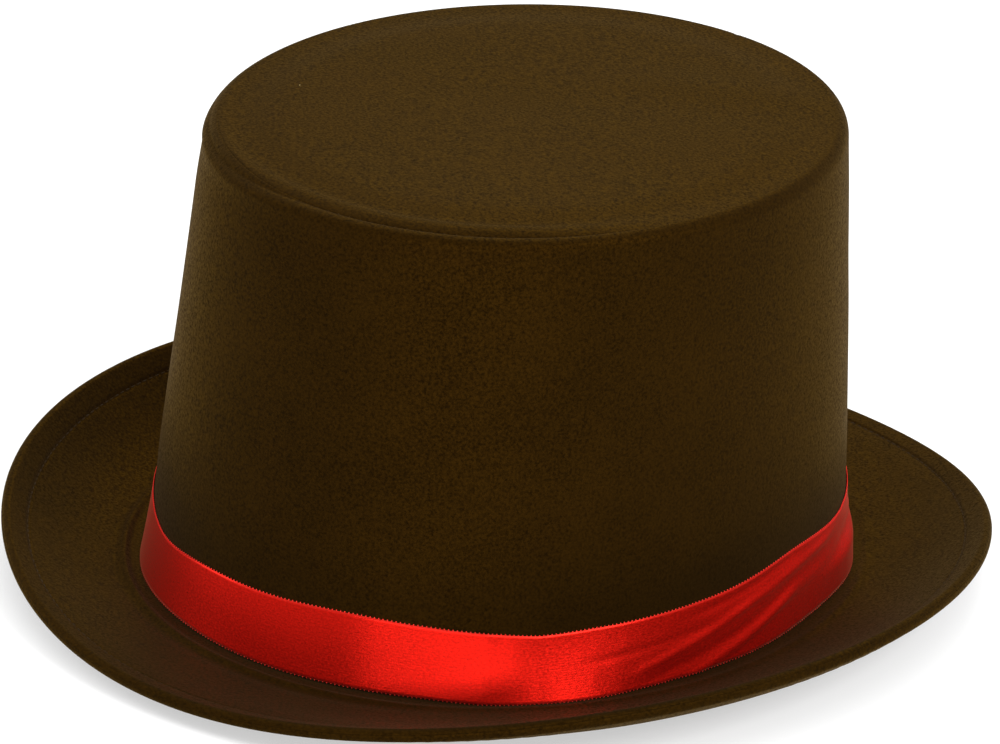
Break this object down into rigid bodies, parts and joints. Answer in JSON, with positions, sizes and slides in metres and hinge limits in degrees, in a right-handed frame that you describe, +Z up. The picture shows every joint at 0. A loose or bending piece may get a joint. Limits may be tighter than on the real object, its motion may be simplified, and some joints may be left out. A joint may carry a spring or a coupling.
{
  "type": "top hat",
  "caption": "Satin-covered dress top hat with an oval crown, a curled brim, a red ribbon band and a sweatband inside.",
  "frame": {"origin": "centre of the head opening, on the plane that the brim's flat inner ring rests on", "axes": "+Z up through the crown, +Y towards the back of the hat, +X towards the wearer's left"},
  "size_m": [0.2566, 0.2887, 0.1281],
  "materials": {
    "satin": "near-black brown satin with a soft sheen",
    "board": "stiffened felt board, hidden inside the covers",
    "lining": "thin plain-weave lining",
    "dark_thread": "dark sewing thread",
    "red_thread": "red sewing thread",
    "ribbon": "red double-faced satin ribbon with woven edges",
    "sweatband": "ribbed grosgrain band",
    "wire": "spring steel wire and crimped ferrule"
  },
  "bodies": {
    "root": {"crown_side_board": "board", "crown_tip_board": "board", "crown_side_cover": "satin", "crown_tip_cover": "satin", "rim_seam_thread": "dark_thread", "back_seam_thread": "dark_thread", "crown_side_lining": "lining", "crown_tip_lining": "lining", "brim_board": "board", "brim_top_cover": "satin", "brim_under_cover": "satin", "brim_edge_wire": "wire", "brim_wire_ferrule": "wire", "hem_top_thread": "dark_thread", "hem_under_thread": "dark_thread", "crown_brim_thread": "dark_thread", "hat_ribbon": "ribbon", "ribbon_lap_end": "ribbon", "ribbon_tack_stitches": "red_thread", "sweatband": "sweatband", "sweatband_join_stitches": "dark_thread", "sweatband_thread": "dark_thread"}
  },
  "joints": []
}
